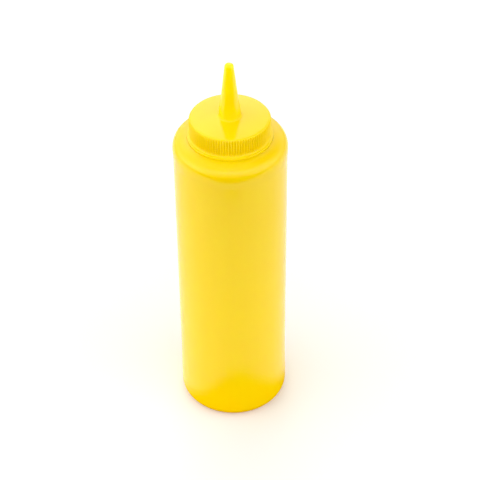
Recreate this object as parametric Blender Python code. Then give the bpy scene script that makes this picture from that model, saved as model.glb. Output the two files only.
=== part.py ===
"""A plain squeeze bottle: a round moulded bottle and the ribbed cap with a tall cone spout that screws on to it.

Metres, +Z up. The origin is the middle of the underside, on the bottle's axis. The camera side of the object is -Y.
The bottle is shut and can't be seen into, so both pieces are solid: the bottle out to its outer wall, with a flat seat
in place of the neck that the cap hides, and the cap out to its outer wall, with a flat underside.
"""

import math

import bmesh
import bpy

# ---- driving dimensions, in millimetres -------------------------------------------------------------------------
MM = 0.001

BEAD_R = 35.0  # outer radius of the shoulder and of the foot, the widest rings
PANEL_R = 34.7  # outer radius of the straight wall between them
FOOT_RADIUS = 7.5  # fillet between the flat underside and the wall
FOOT_TOP_Z = 11.0  # the foot ring runs up to here, then eases in to the wall
PANEL_LOW_Z = 45.0  # the straight wall's lower end
PANEL_HIGH_Z = 195.0  # and its upper end
SHOULDER_Z = 201.0  # the wall is vertical up to here, and the shoulder's curve starts
SHOULDER_RISE = 9.7  # height of the shoulder's curve, were it carried on to SHOULDER_FLAT_R
SHOULDER_FLAT_R = 20.0  # radius at which that curve would be level
SHOULDER_POWER = 2.64  # 2 would be an ellipse; more makes the corner squarer
SEAT_Z = 210.3  # flat seat under the cap

GAP = 0.3  # between the seat and the cap
CAP_Z = SEAT_Z + GAP  # underside of the cap
LIP_R = 26.15  # thin lip at the foot of the cap's skirt
LIP_T = 1.05
LIP_EDGE = 0.3
SKIRT_FOOT_R = 24.7  # rib crests just above the lip
SKIRT_HEAD_R = 24.65  # and where the rim starts
RIB_COUNT = 96
RIB_DEPTH = 0.6
RIB_TURN = 1.25  # degrees from -Y towards +X of one rib's crest
RIB_FOOT_Z = CAP_Z + LIP_T + 0.55
RIM_R = 24.7  # the cap's top ends in a round rim
RIM_RADIUS = 2.2
RIM_Z = 223.65
RIB_HEAD_Z = RIM_Z - RIM_RADIUS
RIB_END = 57.0  # the ribs run out on the rim, this many degrees round it
CROWN_SLOPE = 6.4  # the top is a shallow crown, at this many degrees where it meets the rim

SPOUT_FILLET = 1.0  # where the spout meets the crown
SPOUT_HEAD_R = 2.77
SPOUT_TAPER = 0.112  # the spout widens by this much for each millimetre down
COLLAR = 0.3  # and by this much more at its foot
COLLAR_Z = 229.5  # which is at its full width here
COLLAR_EASE = 6.0  # and eases in over this height
SPOUT_TOP_Z = 261.3  # the closed tip, and the object's height
TIP_RADIUS = 2.1

TURNS = 96  # facets round the bottle and the cap
SPOUT_TURNS = 48  # facets round the spout


# ---- profiles ---------------------------------------------------------------------------------------------------
def ease(t):
    """0 to 1 with no slope at either end."""
    return t * t * (3.0 - 2.0 * t)


def arc(r, z, radius, start, end, steps):
    """Points (radius from the axis, height) on a fillet about (r, z), by angle in degrees above the horizontal."""
    for i in range(steps + 1):
        a = math.radians(start + (end - start) * i / steps)
        yield r + radius * math.cos(a), z + radius * math.sin(a)


def shoulder(r):
    """Height of the shoulder's curve at this radius."""
    across = (r - SHOULDER_FLAT_R) / (BEAD_R - SHOULDER_FLAT_R)
    return SHOULDER_Z + SHOULDER_RISE * (1.0 - across**SHOULDER_POWER) ** (
        1.0 / SHOULDER_POWER
    )


def seat_radius():
    """Where the shoulder's curve comes up to the seat."""
    rise = ((SEAT_Z - SHOULDER_Z) / SHOULDER_RISE) ** SHOULDER_POWER
    across = (1.0 - rise) ** (1.0 / SHOULDER_POWER)
    return SHOULDER_FLAT_R + across * (BEAD_R - SHOULDER_FLAT_R)


def bottle_profile():
    """From the middle of the seat outwards, down the outside and back to the middle of the underside."""
    yield 0.0, SEAT_Z
    inner = seat_radius()
    yield inner, SEAT_Z
    steps = 9
    start = math.acos(
        ((inner - SHOULDER_FLAT_R) / (BEAD_R - SHOULDER_FLAT_R))
        ** (SHOULDER_POWER / 2.0)
    )
    for i in range(1, steps + 1):
        a = start * (1.0 - i / steps)
        across = math.cos(a) ** (2.0 / SHOULDER_POWER)
        r = SHOULDER_FLAT_R + across * (BEAD_R - SHOULDER_FLAT_R)
        yield r, shoulder(r)
    for i in range(1, 4):
        t = i / 3.0
        yield (
            BEAD_R + (PANEL_R - BEAD_R) * ease(t),
            SHOULDER_Z + (PANEL_HIGH_Z - SHOULDER_Z) * t,
        )
    for i in range(4):
        t = i / 3.0
        yield (
            PANEL_R + (BEAD_R - PANEL_R) * ease(t),
            PANEL_LOW_Z + (FOOT_TOP_Z - PANEL_LOW_Z) * t,
        )
    yield from arc(BEAD_R - FOOT_RADIUS, FOOT_RADIUS, FOOT_RADIUS, 0, -90, 5)
    yield 0.0, 0.0


def crown(r):
    """Height of the cap's crowned top at this radius. It leaves the rim's fillet with no kink."""
    slope = math.radians(CROWN_SLOPE)
    edge_r = RIM_R - RIM_RADIUS + RIM_RADIUS * math.sin(slope)
    edge_z = RIM_Z - RIM_RADIUS + RIM_RADIUS * math.cos(slope)
    return edge_z + 0.5 * edge_r * math.tan(slope) * (1.0 - (r / edge_r) ** 2)


def spout_radius(z):
    """The spout's radius between its foot and its tip: a straight taper, with a slight collar at the foot."""
    widening = ease(max(0.0, min(1.0, 1.0 + (COLLAR_Z - z) / COLLAR_EASE)))
    return SPOUT_HEAD_R + SPOUT_TAPER * (SPOUT_TOP_Z - TIP_RADIUS - z) + COLLAR * widening


def spout_foot():
    """The fillet at the spout's foot: its middle, and the angles at which it leaves the crown and joins the spout."""
    low = -90.0 - CROWN_SLOPE / 3.0
    high = -180.0 + math.degrees(math.atan(SPOUT_TAPER))
    r, z = 8.0, crown(8.0) + SPOUT_FILLET
    for _ in range(8):
        a, b = math.radians(low), math.radians(high)
        z = crown(r + SPOUT_FILLET * math.cos(a)) - SPOUT_FILLET * math.sin(a)
        r = spout_radius(z + SPOUT_FILLET * math.sin(b)) - SPOUT_FILLET * math.cos(b)
    return r, z, low, high


# ---- modelling helpers ------------------------------------------------------------------------------------------
def plastic(name):
    material = bpy.data.materials.new(name)
    material.use_nodes = True
    shader = material.node_tree.nodes["Principled BSDF"]
    shader.inputs["Base Color"].default_value = (0.92, 0.62, 0.004, 1.0)
    shader.inputs["Roughness"].default_value = 0.28
    shader.inputs["Metallic"].default_value = 0.0
    shader.inputs["IOR"].default_value = 1.51
    material.diffuse_color = (0.92, 0.62, 0.004, 1.0)
    return material


def show(name, mesh, material, sharp_degrees):
    mesh.materials.append(material)
    mesh.shade_smooth()
    mesh.set_sharp_from_angle(angle=math.radians(sharp_degrees))
    piece = bpy.data.objects.new(name, mesh)
    bpy.context.collection.objects.link(piece)
    return piece


def ring(bm, count, radius, z):
    """A closed row of vertices at height z. radius is a number, or a function of the vertex's place in the row."""
    row = []
    for i in range(count):
        a = math.radians(RIB_TURN - 90.0) + math.tau * i / count
        r = radius(i) if callable(radius) else radius
        row.append(
            bm.verts.new((r * MM * math.cos(a), r * MM * math.sin(a), z * MM))
        )
    return row


def join(bm, low, high):
    """Skins two rows. One may have a whole number of times the other's vertices."""
    n, m = len(low), len(high)
    if n == m:
        for i in range(n):
            j = (i + 1) % n
            bm.faces.new((low[i], low[j], high[j], high[i]))
        return
    few, many, up = (low, high, True) if n < m else (high, low, False)
    k = len(many) // len(few)
    half = k // 2
    for i in range(len(few)):
        here, after = few[i], few[(i + 1) % len(few)]
        fan = [many[(i * k + s) % len(many)] for s in range(k + 1)]
        faces = [(here, fan[s + 1], fan[s]) for s in range(half)]
        faces.append((here, after, fan[half]))
        faces += [(after, fan[s + 1], fan[s]) for s in range(half, k)]
        for face in faces:
            bm.faces.new(face if up else tuple(reversed(face)))


# ---- the two pieces ---------------------------------------------------------------------------------------------
def make_bottle():
    """Turned from its profile about Z."""
    points = [(r * MM, 0.0, z * MM) for r, z in bottle_profile()]
    mesh = bpy.data.meshes.new("bottle")
    mesh.from_pydata(points, [(i, i + 1) for i in range(len(points) - 1)], [])
    piece = show("bottle", mesh, plastic("bottle_plastic"), 40)
    turn = piece.modifiers.new("turn", "SCREW")
    turn.axis = "Z"
    turn.angle = math.tau
    turn.screw_offset = 0.0
    turn.steps = turn.render_steps = TURNS
    turn.use_merge_vertices = True
    turn.merge_threshold = 0.00001
    turn.use_smooth_shade = True
    return piece


def make_cap():
    """Rows of vertices from the underside up over the lip, the ribs, the rim and the spout to its closed tip."""
    bm = bmesh.new()
    lip_top = CAP_Z + LIP_T
    rows = [
        ring(bm, TURNS, LIP_R - LIP_EDGE, CAP_Z),
        ring(bm, TURNS, LIP_R, CAP_Z + LIP_EDGE),
        ring(bm, TURNS, LIP_R, lip_top - LIP_EDGE),
        ring(bm, TURNS, LIP_R - LIP_EDGE, lip_top),
        ring(bm, TURNS, SKIRT_FOOT_R + 0.1, lip_top + 0.1),
    ]
    per_rib = 4
    # Each rib has a crest and a valley of equal width, and two flanks.
    wave = (0.0, RIB_DEPTH, RIB_DEPTH, 0.0)

    def ribs(crest):
        return lambda i: crest - wave[(i + 1) % per_rib]

    count = RIB_COUNT * per_rib
    rows.append(ring(bm, count, ribs(SKIRT_FOOT_R), RIB_FOOT_Z))
    rows.append(ring(bm, count, ribs(SKIRT_HEAD_R), RIB_HEAD_Z))
    # On the rim the ribs grow shallower, and end.
    middle = RIM_R - RIM_RADIUS, RIM_Z - RIM_RADIUS
    r, z = next(arc(*middle, RIM_RADIUS, 0.55 * RIB_END, RIB_END, 1))
    rows.append(
        ring(bm, count, lambda i: r - 0.6 * wave[(i + 1) % per_rib], z)
    )
    for r, z in arc(*middle, RIM_RADIUS, RIB_END, 90 - CROWN_SLOPE, 1):
        rows.append(ring(bm, TURNS, r, z))

    foot_r, foot_z, start, end = spout_foot()
    for r in (19.0, 14.0):
        rows.append(ring(bm, TURNS, r, crown(r)))
    # The fillet at the spout's foot turns from the crown up to the spout's side.
    for r, z in arc(foot_r, foot_z, SPOUT_FILLET, start, end, 2):
        rows.append(ring(bm, SPOUT_TURNS, r, z))
    low = foot_z + SPOUT_FILLET * math.sin(math.radians(end))
    high = SPOUT_TOP_Z - TIP_RADIUS
    steps = 8
    for i in range(1, steps):
        z = low + (high - low) * i / steps
        rows.append(ring(bm, SPOUT_TURNS, spout_radius(z), z))
    for r, z in arc(SPOUT_HEAD_R - TIP_RADIUS, high, TIP_RADIUS, 0, 90, 4):
        rows.append(ring(bm, SPOUT_TURNS, r, z))

    for below, above in zip(rows, rows[1:]):
        join(bm, below, above)
    bm.faces.new(tuple(reversed(rows[0])))
    bm.faces.new(tuple(rows[-1]))
    bm.normal_update()
    mesh = bpy.data.meshes.new("cap")
    bm.to_mesh(mesh)
    bm.free()
    return show("cap", mesh, plastic("cap_plastic"), 35)


def main():
    for old in list(bpy.data.objects):
        bpy.data.objects.remove(old, do_unlink=True)
    make_bottle()
    make_cap()


main()
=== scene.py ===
import math

import bpy
from mathutils import Matrix, Vector


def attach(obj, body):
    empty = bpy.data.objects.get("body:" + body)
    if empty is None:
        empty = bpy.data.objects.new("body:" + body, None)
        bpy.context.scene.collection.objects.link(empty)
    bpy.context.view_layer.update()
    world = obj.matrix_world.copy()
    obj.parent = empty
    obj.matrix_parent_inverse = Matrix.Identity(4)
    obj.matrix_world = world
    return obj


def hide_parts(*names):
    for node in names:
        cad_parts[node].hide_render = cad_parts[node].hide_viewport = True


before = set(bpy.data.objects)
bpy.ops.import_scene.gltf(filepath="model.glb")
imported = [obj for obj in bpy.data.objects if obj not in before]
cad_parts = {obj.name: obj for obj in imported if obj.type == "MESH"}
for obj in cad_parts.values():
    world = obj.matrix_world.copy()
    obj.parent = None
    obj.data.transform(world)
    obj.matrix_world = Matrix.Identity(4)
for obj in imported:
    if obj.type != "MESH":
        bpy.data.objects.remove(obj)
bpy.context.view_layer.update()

MM = 0.001

# ---- sizes: the CAD's own ---------------------------------------------------------------------------------------
BEAD_R = 35.0
PANEL_R = 34.7
FOOT_RADIUS = 7.5
FOOT_TOP_Z = 11.0
PANEL_LOW_Z = 45.0
PANEL_HIGH_Z = 195.0
SHOULDER_Z = 201.0
SHOULDER_RISE = 9.7
SHOULDER_FLAT_R = 20.0
SHOULDER_POWER = 2.64
SEAT_Z = 210.3
GAP = 0.3
CAP_Z = SEAT_Z + GAP
LIP_R = 26.15
LIP_T = 1.05
LIP_EDGE = 0.3
SKIRT_FOOT_R = 24.7
SKIRT_HEAD_R = 24.65
RIB_COUNT = 96
RIB_DEPTH = 0.8  # the CAD's ribs are 0.6 deep, with flat crests and valleys
RIB_TURN = 1.25
RIB_FOOT_Z = CAP_Z + LIP_T + 0.55
RIM_R = 24.7
RIM_RADIUS = 2.2
RIM_Z = 223.65
RIB_HEAD_Z = RIM_Z - RIM_RADIUS
RIB_END = 57.0
CROWN_SLOPE = 6.4
SPOUT_FILLET = 1.0
SPOUT_HEAD_R = 2.77
SPOUT_TAPER = 0.112
COLLAR = 0.3
COLLAR_Z = 229.5
COLLAR_EASE = 6.0
SPOUT_TOP_Z = 261.3
TIP_RADIUS = 2.1

# ---- what only the looks have -----------------------------------------------------------------------------------
STAND_R = BEAD_R - FOOT_RADIUS  # the foot's rounding ends here, and the recess under the bottle starts
PUSH_UP_R = 19.0  # inside this one the underside is level again
PUSH_UP = 1.2
LIP_SINK = 0.28  # the lip rests on the shoulder, where the CAD keeps its two pieces apart
LIP_CORNER = 0.03  # the rounding of the lip's lower corner
BOTTLE_TURNS = 256
RIB_POINTS = 10
RIB_START = 0.7  # each rib starts over this height above the lip
SPOUT_TURNS = 192


# ---- profiles ---------------------------------------------------------------------------------------------------
def ease(t):
    """0 to 1 with no slope at either end."""
    t = max(0.0, min(1.0, t))
    return t * t * (3.0 - 2.0 * t)


def arc(r, z, radius, start, end, steps):
    """Points (radius from the axis, height) on a fillet about (r, z), by angle in degrees above the horizontal."""
    for i in range(steps + 1):
        a = math.radians(start + (end - start) * i / steps)
        yield r + radius * math.cos(a), z + radius * math.sin(a)


def shoulder_start():
    """The shoulder curve's parameter where it comes up to the seat."""
    return math.asin(((SEAT_Z - SHOULDER_Z) / SHOULDER_RISE) ** (SHOULDER_POWER / 2.0))


def shoulder_point(a):
    across = math.cos(a) ** (2.0 / SHOULDER_POWER)
    rise = math.sin(a) ** (2.0 / SHOULDER_POWER)
    return (
        SHOULDER_FLAT_R + across * (BEAD_R - SHOULDER_FLAT_R),
        SHOULDER_Z + rise * SHOULDER_RISE,
    )


def bottle_profile():
    """From the seat's middle outwards, down the outside and back to the middle of the underside."""
    start = shoulder_start()
    inner = shoulder_point(start)[0]
    for share in (0.0, 0.35, 0.7, 0.95):
        yield inner * share, SEAT_Z
    steps = 48
    for i in range(steps + 1):
        # Closer together towards the corner, where the curve turns fastest.
        yield shoulder_point(start * (1.0 - i / steps) ** 1.3)
    steps = 14
    for i in range(1, steps + 1):
        t = i / steps
        yield (
            BEAD_R + (PANEL_R - BEAD_R) * ease(t),
            SHOULDER_Z + (PANEL_HIGH_Z - SHOULDER_Z) * t,
        )
    steps = 28
    for i in range(1, steps):
        yield PANEL_R, PANEL_HIGH_Z + (PANEL_LOW_Z - PANEL_HIGH_Z) * i / steps
    steps = 18
    for i in range(steps + 1):
        t = i / steps
        yield (
            PANEL_R + (BEAD_R - PANEL_R) * ease(t),
            PANEL_LOW_Z + (FOOT_TOP_Z - PANEL_LOW_Z) * t,
        )
    yield BEAD_R, 0.5 * (FOOT_TOP_Z + FOOT_RADIUS)
    yield from arc(BEAD_R - FOOT_RADIUS, FOOT_RADIUS, FOOT_RADIUS, 0, -90, 24)
    steps = 14
    for i in range(1, steps + 1):
        t = i / steps
        yield STAND_R + (PUSH_UP_R - STAND_R) * t, PUSH_UP * ease(t)
    for share in (0.7, 0.35, 0.0):
        yield PUSH_UP_R * share, PUSH_UP


def crown(r):
    """Height of the cap's crowned top at this radius. It leaves the rim's fillet with no kink."""
    slope = math.radians(CROWN_SLOPE)
    edge_r = RIM_R - RIM_RADIUS + RIM_RADIUS * math.sin(slope)
    edge_z = RIM_Z - RIM_RADIUS + RIM_RADIUS * math.cos(slope)
    return edge_z + 0.5 * edge_r * math.tan(slope) * (1.0 - (r / edge_r) ** 2)


def spout_radius(z):
    """The spout's radius between its foot and its tip: a straight taper, with a slight collar at the foot."""
    widening = ease(1.0 + (COLLAR_Z - z) / COLLAR_EASE)
    return (
        SPOUT_HEAD_R + SPOUT_TAPER * (SPOUT_TOP_Z - TIP_RADIUS - z) + COLLAR * widening
    )


def spout_foot():
    """The fillet at the spout's foot: its middle, and the angles at which it leaves the crown and joins the spout."""
    low = -90.0 - CROWN_SLOPE / 3.0
    high = -180.0 + math.degrees(math.atan(SPOUT_TAPER))
    r, z = 8.0, crown(8.0) + SPOUT_FILLET
    for _ in range(8):
        a, b = math.radians(low), math.radians(high)
        z = crown(r + SPOUT_FILLET * math.cos(a)) - SPOUT_FILLET * math.sin(a)
        r = spout_radius(z + SPOUT_FILLET * math.sin(b)) - SPOUT_FILLET * math.cos(b)
    return r, z, low, high


def skirt_radius(z):
    share = (z - RIB_FOOT_Z) / (RIB_HEAD_Z - RIB_FOOT_Z)
    return SKIRT_FOOT_R + (SKIRT_HEAD_R - SKIRT_FOOT_R) * share


def valley(place):
    """0 on a rib's crest and 1 halfway to the next. place is 0 to 1 round the cap."""
    return 0.5 - 0.5 * math.cos(math.tau * (place * RIB_COUNT % 1.0))


# ---- mesh helpers -----------------------------------------------------------------------------------------------
class Turned:
    """A closed skin of rings about Z. A ring of radius 0 is one vertex."""

    def __init__(self, start_degrees=0.0):
        self.start = math.radians(start_degrees)
        self.points = []
        self.faces = []
        self.last = None

    def ring(self, count, radius, z):
        """radius and z are numbers, or functions of the vertex's place round the ring, 0 to 1."""
        if not callable(radius) and radius <= 0.0:
            count = 1
        row = []
        for i in range(count):
            a = self.start + math.tau * i / count
            r = radius(i / count) if callable(radius) else radius
            h = z(i / count) if callable(z) else z
            row.append(len(self.points))
            self.points.append((r * MM * math.cos(a), r * MM * math.sin(a), h * MM))
        if self.last is not None:
            self.skin(self.last, row)
        self.last = row

    def skin(self, before, after):
        n, m = len(before), len(after)
        if n == m:
            for i in range(n):
                j = (i + 1) % n
                self.faces.append((before[i], before[j], after[j], after[i]))
            return
        few, many, up = (before, after, True) if n < m else (after, before, False)
        if len(few) == 1:
            fans = [
                (few[0], many[(i + 1) % len(many)], many[i]) for i in range(len(many))
            ]
        else:
            k = len(many) // len(few)
            half = k // 2
            fans = []
            for i, here in enumerate(few):
                beyond = few[(i + 1) % len(few)]
                fan = [many[(i * k + s) % len(many)] for s in range(k + 1)]
                fans += [(here, fan[s + 1], fan[s]) for s in range(half)]
                fans.append((here, beyond, fan[half]))
                fans += [(beyond, fan[s + 1], fan[s]) for s in range(half, k)]
        self.faces += fans if up else [tuple(reversed(face)) for face in fans]

    def piece(self, name, material, upwards, sharp_degrees):
        """upwards says whether the rings went from the underside to the top, which sets the faces' direction."""
        faces = self.faces if upwards else [tuple(reversed(f)) for f in self.faces]
        mesh = bpy.data.meshes.new(name)
        mesh.from_pydata(self.points, [], faces)
        mesh.materials.append(material)
        mesh.shade_smooth()
        mesh.set_sharp_from_angle(angle=math.radians(sharp_degrees))
        mesh.validate()
        made = bpy.data.objects.new(name, mesh)
        bpy.context.scene.collection.objects.link(made)
        return made


# ---- materials --------------------------------------------------------------------------------------------------
class Nodes:
    """Short names for building one material's or the world's node tree."""

    def __init__(self, tree):
        self.tree = tree

    def add(self, kind, inputs=(), **settings):
        node = self.tree.nodes.new(kind)
        for key, value in settings.items():
            setattr(node, key, value)
        for key, value in dict(inputs).items():
            if isinstance(value, bpy.types.NodeSocket):
                self.tree.links.new(value, node.inputs[key])
            else:
                node.inputs[key].default_value = value
        return node

    def math(self, operation, *values):
        return self.add(
            "ShaderNodeMath", dict(enumerate(values)), operation=operation
        ).outputs[0]

    def stretched(self, where, scale):
        """The coordinates where, multiplied by scale along each axis."""
        return self.add(
            "ShaderNodeVectorMath", {0: where, 1: scale}, operation="MULTIPLY"
        ).outputs[0]

    def noise(self, where, scale, detail=2.0, roughness=0.5):
        return self.add(
            "ShaderNodeTexNoise",
            {"Vector": where, "Scale": scale, "Detail": detail, "Roughness": roughness},
        ).outputs["Fac"]

    def spread(self, value, low, high):
        """A noise of about 0.3 to 0.7, spread from low to high."""
        return self.add(
            "ShaderNodeMapRange",
            {"Value": value, 1: 0.3, 2: 0.7, 3: low, 4: high},
            interpolation_type="SMOOTHSTEP",
        ).outputs[0]

    def blend(self, share, one, other):
        """One colour to another, as share goes from 0 to 1."""
        node = self.tree.nodes.new("ShaderNodeMix")
        node.data_type = "RGBA"
        self.tree.links.new(share, node.inputs[0])
        for socket, value in ((node.inputs[6], one), (node.inputs[7], other)):
            if isinstance(value, bpy.types.NodeSocket):
                self.tree.links.new(value, socket)
            else:
                socket.default_value = (*value, 1.0)
        return node.outputs[2]

    def bump(self, height, millimetres, under=None):
        inputs = {"Height": height, "Strength": 1.0, "Distance": millimetres * MM}
        if under is not None:
            inputs["Normal"] = under
        return self.add("ShaderNodeBump", inputs).outputs[0]


def start_plastic(name):
    material = bpy.data.materials.new(name)
    material.use_nodes = True
    nodes = Nodes(material.node_tree)
    shader = material.node_tree.nodes["Principled BSDF"]
    where = nodes.add("ShaderNodeTexCoord").outputs["Object"]
    return material, nodes, shader, where


BOTTLE_YELLOW = (0.975, 0.670, 0.0010)
BOTTLE_DEEP = (0.965, 0.650, 0.0008)
CAP_YELLOW = (0.975, 0.712, 0.0010)
CAP_DEEP = (0.965, 0.692, 0.0008)


def bottle_plastic():
    """Soft blow-moulded plastic: a satin gloss, faint streaks down the wall from the extruded tube, a cloudy depth."""
    material, nodes, shader, where = start_plastic("bottle_yellow")
    streak = nodes.noise(nodes.stretched(where, (1.0, 1.0, 0.035)), 260.0, 3.0, 0.55)
    cloud = nodes.noise(where, 38.0, 3.0, 0.5)
    grain = nodes.noise(where, 2600.0, 2.0, 0.6)
    tone = nodes.math(
        "ADD",
        nodes.math("MULTIPLY", nodes.spread(streak, 0.0, 1.0), 0.45),
        nodes.math("MULTIPLY", nodes.spread(cloud, 0.0, 1.0), 0.55),
    )
    nodes.tree.links.new(
        nodes.blend(tone, BOTTLE_DEEP, BOTTLE_YELLOW), shader.inputs["Base Color"]
    )
    polish = nodes.math(
        "ADD", nodes.spread(cloud, 0.125, 0.155), nodes.spread(streak, -0.012, 0.012)
    )
    nodes.tree.links.new(polish, shader.inputs["Roughness"])
    normal = nodes.bump(cloud, 0.020)
    normal = nodes.bump(streak, 0.0022, normal)
    normal = nodes.bump(grain, 0.0006, normal)
    nodes.tree.links.new(normal, shader.inputs["Normal"])
    shader.inputs["IOR"].default_value = 1.39
    shader.inputs["Subsurface Weight"].default_value = 0.6
    shader.inputs["Subsurface Radius"].default_value = (1.0, 0.8, 0.06)
    shader.inputs["Subsurface Scale"].default_value = 0.006
    return material


def cap_plastic():
    """Harder injection-moulded plastic: smoother, with the mould's faint turning marks round the axis."""
    material, nodes, shader, where = start_plastic("cap_yellow")
    axes = nodes.add("ShaderNodeSeparateXYZ", {0: where})
    radius = nodes.math(
        "SQRT",
        nodes.math(
            "ADD",
            nodes.math("MULTIPLY", axes.outputs[0], axes.outputs[0]),
            nodes.math("MULTIPLY", axes.outputs[1], axes.outputs[1]),
        ),
    )
    rings = nodes.add(
        "ShaderNodeCombineXYZ", {0: radius, 1: nodes.math("MULTIPLY", axes.outputs[2], 1.0)}
    ).outputs[0]
    turning = nodes.noise(rings, 1400.0, 2.0, 0.6)
    cloud = nodes.noise(where, 60.0, 2.0, 0.5)
    grain = nodes.noise(where, 3200.0, 2.0, 0.6)
    nodes.tree.links.new(
        nodes.blend(nodes.spread(cloud, 0.0, 1.0), CAP_DEEP, CAP_YELLOW),
        shader.inputs["Base Color"],
    )
    polish = nodes.math(
        "ADD", nodes.spread(cloud, 0.115, 0.140), nodes.spread(turning, -0.01, 0.01)
    )
    nodes.tree.links.new(polish, shader.inputs["Roughness"])
    normal = nodes.bump(turning, 0.0010)
    normal = nodes.bump(grain, 0.0005, normal)
    nodes.tree.links.new(normal, shader.inputs["Normal"])
    shader.inputs["IOR"].default_value = 1.40
    # The thin spout glows through, the skirt hardly.
    glow = nodes.add(
        "ShaderNodeMapRange",
        {
            "Value": axes.outputs[2],
            1: (RIM_Z + 1.0) * MM,
            2: (RIM_Z + 6.0) * MM,
            3: 0.1,
            4: 1.0,
        },
        interpolation_type="SMOOTHSTEP",
    ).outputs[0]
    nodes.tree.links.new(glow, shader.inputs["Subsurface Weight"])
    shader.inputs["Subsurface Radius"].default_value = (1.0, 0.85, 0.06)
    shader.inputs["Subsurface Scale"].default_value = 0.010
    return material


# ---- the two pieces ---------------------------------------------------------------------------------------------
def make_bottle():
    skin = Turned()
    for r, z in bottle_profile():
        skin.ring(BOTTLE_TURNS, r, z)
    return skin.piece("bottle_body", bottle_plastic(), upwards=False, sharp_degrees=50)


def make_cap():
    skin = Turned(start_degrees=RIB_TURN - 90.0)
    count = RIB_COUNT * RIB_POINTS
    lip_top = CAP_Z + LIP_T
    underside = CAP_Z - LIP_SINK
    for share in (0.0, 0.4, 0.8):
        skin.ring(count, (LIP_R - LIP_EDGE) * share, underside)
    for r, z in arc(LIP_R - LIP_CORNER, underside + LIP_CORNER, LIP_CORNER, -90, 0, 3):
        skin.ring(count, r, z)
    for r, z in arc(LIP_R - LIP_EDGE, lip_top - LIP_EDGE, LIP_EDGE, 0, 90, 4):
        skin.ring(count, r, z)
    # A small fillet turns from the lip's top up to the skirt.
    foot = RIB_FOOT_Z - lip_top
    for r, z in arc(SKIRT_FOOT_R + foot, lip_top + foot, foot, -90, -180, 5):
        skin.ring(count, r, z)
    steps = 24
    for i in range(1, steps + 1):
        # Closer together near the ribs' ends.
        t = 0.5 - 0.5 * math.cos(math.pi * i / steps)
        z = RIB_FOOT_Z + (RIB_HEAD_Z - RIB_FOOT_Z) * t
        depth = RIB_DEPTH * ease((z - RIB_FOOT_Z) / RIB_START)
        skin.ring(
            count,
            lambda place, z=z, d=depth: skirt_radius(z) - d * valley(place),
            z,
        )
    # The ribs carry on over the rim's rounding, grow shallower there, and end.
    steps = 16
    for i in range(1, steps + 1):
        degrees = (90.0 - CROWN_SLOPE) * i / steps
        a = math.radians(degrees)
        depth = RIB_DEPTH * (1.0 - ease((degrees / RIB_END - 0.6) / 0.4))
        skin.ring(
            count,
            lambda place, a=a, d=depth: RIM_R
            - RIM_RADIUS
            + (RIM_RADIUS - d * valley(place)) * math.cos(a),
            lambda place, a=a, d=depth: RIM_Z
            - RIM_RADIUS
            + (RIM_RADIUS - d * valley(place)) * math.sin(a),
        )
    foot_r, foot_z, start, end = spout_foot()
    edge = RIM_R - RIM_RADIUS
    for share in (0.92, 0.84, 0.75, 0.65, 0.55, 0.45, 0.36, 0.27, 0.19, 0.12, 0.06):
        r = foot_r + (edge - foot_r) * share
        skin.ring(count if share > 0.3 else SPOUT_TURNS, r, crown(r))
    for r, z in arc(foot_r, foot_z, SPOUT_FILLET, start, end, 10):
        skin.ring(SPOUT_TURNS, r, z)
    foot_z += SPOUT_FILLET * math.sin(math.radians(end))
    head_z = SPOUT_TOP_Z - TIP_RADIUS
    steps = 36
    for i in range(1, steps):
        z = foot_z + (head_z - foot_z) * i / steps
        skin.ring(SPOUT_TURNS, spout_radius(z), z)
    for r, z in arc(SPOUT_HEAD_R - TIP_RADIUS, head_z, TIP_RADIUS, 0, 90, 10):
        skin.ring(SPOUT_TURNS, r, z)
    skin.ring(SPOUT_TURNS, 0.5 * (SPOUT_HEAD_R - TIP_RADIUS), SPOUT_TOP_Z)
    skin.ring(SPOUT_TURNS, 0.0, SPOUT_TOP_Z)
    return skin.piece("cap_with_spout", cap_plastic(), upwards=True, sharp_degrees=50)


# ---- floor, light, camera ---------------------------------------------------------------------------------------
FLOOR_FRONT = 275.0  # the floor's edge in front of the bottle, and its reach to the sides and behind
FLOOR_REACH = 1600.0


def make_floor():
    corners = [
        (-FLOOR_REACH, -FLOOR_FRONT),
        (FLOOR_REACH, -FLOOR_FRONT),
        (FLOOR_REACH, FLOOR_REACH),
        (-FLOOR_REACH, FLOOR_REACH),
    ]
    mesh = bpy.data.meshes.new("floor")
    mesh.from_pydata([(x * MM, y * MM, 0.0) for x, y in corners], [], [(0, 1, 2, 3)])
    material = bpy.data.materials.new("floor_white")
    material.use_nodes = True
    shader = material.node_tree.nodes["Principled BSDF"]
    shader.inputs["Base Color"].default_value = (0.94, 0.94, 0.94, 1.0)
    shader.inputs["Roughness"].default_value = 0.9
    shader.inputs["Specular IOR Level"].default_value = 0.0
    mesh.materials.append(material)
    floor = bpy.data.objects.new("floor", mesh)
    bpy.context.scene.collection.objects.link(floor)


# Shades on the floor that the camera doesn't see: (name, its middle, half its width and half its depth, how far out it
# stays solid, its colour, whether gloss shows it, height above the floor). The bottle throws the first one towards the
# camera. The floor in the picture is too bright to show it, but the foot's gloss does. The second takes some of the
# light that comes up from the floor to the wall's lower half.
SHADES = (
    ("foot_shade", (5.0, -25.0), (52.0, 62.0), 0.72, (0.62, 0.40, 0.004), True, 0.3),
    ("front_shade", (0.0, -90.0), (170.0, 85.0), 0.4, (0.30, 0.30, 0.30), False, 0.15),
)


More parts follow.
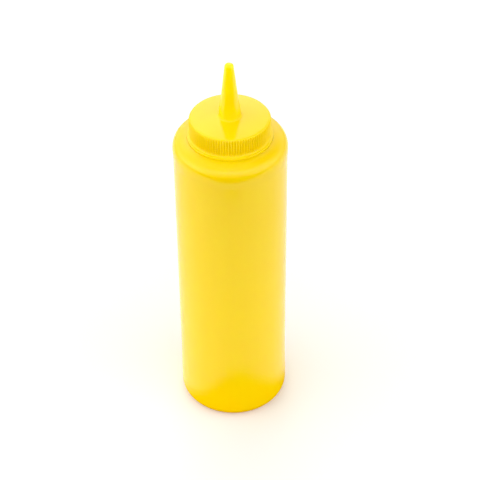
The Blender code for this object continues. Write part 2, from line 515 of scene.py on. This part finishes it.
def make_shade(name, middle, reach, solid_share, colour, in_gloss, height):
    points = [(0.0, 0.0, 0.0)]
    count = 96
    for i in range(count):
        a = math.tau * i / count
        points.append((math.cos(a), math.sin(a), 0.0))
    mesh = bpy.data.meshes.new(name)
    mesh.from_pydata(points, [], [(0, i + 1, (i + 1) % count + 1) for i in range(count)])
    material = bpy.data.materials.new(name)
    material.use_nodes = True
    nodes = Nodes(material.node_tree)
    nodes.tree.nodes.clear()
    where = nodes.add("ShaderNodeTexCoord").outputs["Object"]
    away = nodes.add("ShaderNodeVectorMath", {0: where}, operation="LENGTH")
    solid = nodes.add(
        "ShaderNodeMapRange",
        {"Value": away.outputs["Value"], 1: 1.0, 2: solid_share, 3: 0.0, 4: 1.0},
        interpolation_type="SMOOTHSTEP",
    )
    # Seen from below it isn't there, so the floor under it gets its full light.
    below = nodes.add("ShaderNodeNewGeometry").outputs["Backfacing"]
    share = nodes.math(
        "MULTIPLY", solid.outputs[0], nodes.math("SUBTRACT", 1.0, below)
    )
    tone = nodes.add("ShaderNodeBsdfDiffuse", {"Color": (*colour, 1.0)})
    clear = nodes.add("ShaderNodeBsdfTransparent")
    mixed = nodes.add(
        "ShaderNodeMixShader",
        {0: share, 1: clear.outputs[0], 2: tone.outputs[0]},
    )
    nodes.add("ShaderNodeOutputMaterial", {"Surface": mixed.outputs[0]})
    mesh.materials.append(material)
    shade = bpy.data.objects.new(name, mesh)
    bpy.context.scene.collection.objects.link(shade)
    wide, deep = reach
    shade.location = (middle[0] * MM, middle[1] * MM, height * MM)
    shade.scale = (wide * MM, deep * MM, 1.0)
    shade.visible_camera = False
    shade.visible_glossy = in_gloss
    shade.visible_transmission = False
    shade.visible_shadow = False


# Soft lights of the studio: (name, degrees from the front towards +X, degrees above the floor, how far it spreads round
# in degrees, how far it spreads up and down, strength).
LIGHTS = (
    ("front_29", 0.0, 29.0, 20.0, 7.5, 1.67),
    ("front_41", 0.0, 41.0, 20.0, 7.5, 1.67),
    ("front_53", 0.0, 53.0, 20.0, 7.5, 1.53),
    ("left_front_5", -35.0, 5.0, 20.0, 10.0, 1.16),
    ("left_front_40", -35.0, 40.0, 20.0, 10.0, 1.59),
    ("right_front_5", 35.0, 5.0, 20.0, 10.0, 1.23),
    ("right_front_40", 35.0, 40.0, 20.0, 10.0, 1.85),
    ("left_5", -70.0, 5.0, 20.0, 10.0, 1.83),
    ("left_22", -70.0, 22.0, 20.0, 10.0, 1.77),
    ("left_40", -70.0, 40.0, 20.0, 10.0, 1.49),
    ("right_5", 70.0, 5.0, 20.0, 10.0, 1.75),
    ("right_22", 70.0, 22.0, 20.0, 10.0, 1.66),
    ("right_40", 70.0, 40.0, 20.0, 10.0, 1.64),
    ("left_rear_5", -105.0, 5.0, 20.0, 10.0, 1.30),
    ("left_rear_22", -105.0, 22.0, 20.0, 10.0, 1.48),
    ("left_rear_58", -105.0, 58.0, 20.0, 10.0, 1.22),
    ("right_rear_5", 105.0, 5.0, 20.0, 10.0, 0.74),
    ("right_rear_22", 105.0, 22.0, 20.0, 10.0, 0.74),
    ("left_back_5", -145.0, 5.0, 20.0, 10.0, 0.93),
    ("left_back_40", -145.0, 40.0, 20.0, 10.0, 1.60),
    ("right_back_5", 145.0, 5.0, 20.0, 10.0, 0.33),
    ("right_back_22", 145.0, 22.0, 20.0, 10.0, 0.61),
    ("back_5", 180.0, 5.0, 20.0, 10.0, 0.96),
    ("back_22", 180.0, 22.0, 20.0, 10.0, 1.90),
    ("back_40", 180.0, 40.0, 20.0, 10.0, 1.52),
    ("back_58", 180.0, 58.0, 20.0, 10.0, 1.30),
    ("top_front_78", 0.0, 78.0, 60.0, 8.0, 1.50),
)


def make_light():
    """One world that sums the soft lights. What the camera sees past the floor is plain white."""
    world = bpy.data.worlds.new("studio")
    bpy.context.scene.world = world
    world.use_nodes = True
    nodes = Nodes(world.node_tree)
    nodes.tree.nodes.clear()
    towards = nodes.add("ShaderNodeTexCoord").outputs["Generated"]
    axes = nodes.add("ShaderNodeSeparateXYZ", {0: towards}).outputs
    height = nodes.math("ARCSINE", axes[2])
    level = nodes.math(
        "SQRT",
        nodes.math(
            "ADD",
            nodes.math("MULTIPLY", axes[0], axes[0]),
            nodes.math("MULTIPLY", axes[1], axes[1]),
        ),
    )
    level = nodes.math("MAXIMUM", level, 0.0001)
    total = None
    for name, azimuth, elevation, wide, tall, strength in LIGHTS:
        a = math.radians(azimuth)
        near = nodes.add(
            "ShaderNodeVectorMath",
            {0: towards, 1: (math.sin(a), -math.cos(a), 0.0)},
            operation="DOT_PRODUCT",
        ).outputs["Value"]
        round_it = nodes.math(
            "DIVIDE",
            nodes.math("SUBTRACT", nodes.math("DIVIDE", near, level), 1.0),
            math.radians(wide) ** 2,
        )
        off = nodes.math(
            "DIVIDE",
            nodes.math("SUBTRACT", height, math.radians(elevation)),
            math.radians(tall) * math.sqrt(2.0),
        )
        fall = nodes.math("SUBTRACT", round_it, nodes.math("MULTIPLY", off, off))
        glow = nodes.add(
            "ShaderNodeMath",
            {0: nodes.math("EXPONENT", fall), 1: strength},
            operation="MULTIPLY",
            name=name,
        ).outputs[0]
        total = glow if total is None else nodes.math("ADD", total, glow)
    # No light comes from below the horizon.
    above = nodes.add(
        "ShaderNodeMapRange",
        {"Value": height, 1: math.radians(-6.0), 2: math.radians(-1.0)},
        interpolation_type="SMOOTHSTEP",
    ).outputs[0]
    total = nodes.math("MULTIPLY", total, above)
    light =nodes.add("ShaderNodeBackground", {"Strength": total})
    paper = nodes.add("ShaderNodeBackground", {"Color": (1.0, 1.0, 1.0, 1.0)})
    seen = nodes.add("ShaderNodeLightPath").outputs["Is Camera Ray"]
    mixed = nodes.add(
        "ShaderNodeMixShader",
        {0: seen, 1: light.outputs[0], 2: paper.outputs[0]},
    )
    nodes.add("ShaderNodeOutputWorld", {"Surface": mixed.outputs[0]})


# The camera, from the photograph's own perspective.
CAMERA_BACK = 748.2
CAMERA_UP = 770.1
CAMERA_PITCH = 40.69
CAMERA_YAW = 0.40
CAMERA_ROLL = -0.65
CAMERA_FOCAL = 1554.9  # in the photograph's pixels
FRAME_SIDE = 480.0


def make_camera():
    data = bpy.data.cameras.new("camera")
    camera = bpy.data.objects.new("camera", data)
    bpy.context.scene.collection.objects.link(camera)
    data.sensor_width = 36.0
    data.lens = CAMERA_FOCAL / FRAME_SIDE * data.sensor_width
    data.clip_start, data.clip_end = 0.01, 20.0
    pitch, yaw, roll = (
        math.radians(x) for x in (CAMERA_PITCH, CAMERA_YAW, CAMERA_ROLL)
    )
    ahead = Vector(
        (
            math.sin(yaw) * math.cos(pitch),
            math.cos(yaw) * math.cos(pitch),
            -math.sin(pitch),
        )
    )
    right = Vector((math.cos(yaw), -math.sin(yaw), 0.0))
    up = right.cross(ahead)
    c, s = math.cos(roll), math.sin(roll)
    right, up = c * right + s * up, -s * right + c * up
    turn = Matrix((right, up, -ahead)).transposed().to_4x4()
    camera.matrix_world = (
        Matrix.Translation((0.0, -CAMERA_BACK * MM, CAMERA_UP * MM)) @ turn
    )
    bpy.context.scene.camera = camera


# ---- everything in its place ------------------------------------------------------------------------------------
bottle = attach(make_bottle(), "root")
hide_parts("bottle")
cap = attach(make_cap(), "root")
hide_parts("cap")

make_floor()
for shade in SHADES:
    make_shade(*shade)
make_light()
make_camera()
bpy.context.scene.view_settings.view_transform = "Standard"
bpy.context.scene.view_settings.look = "None"
bpy.context.scene.view_settings.exposure = 0.0
bpy.context.scene.view_settings.gamma = 1.0
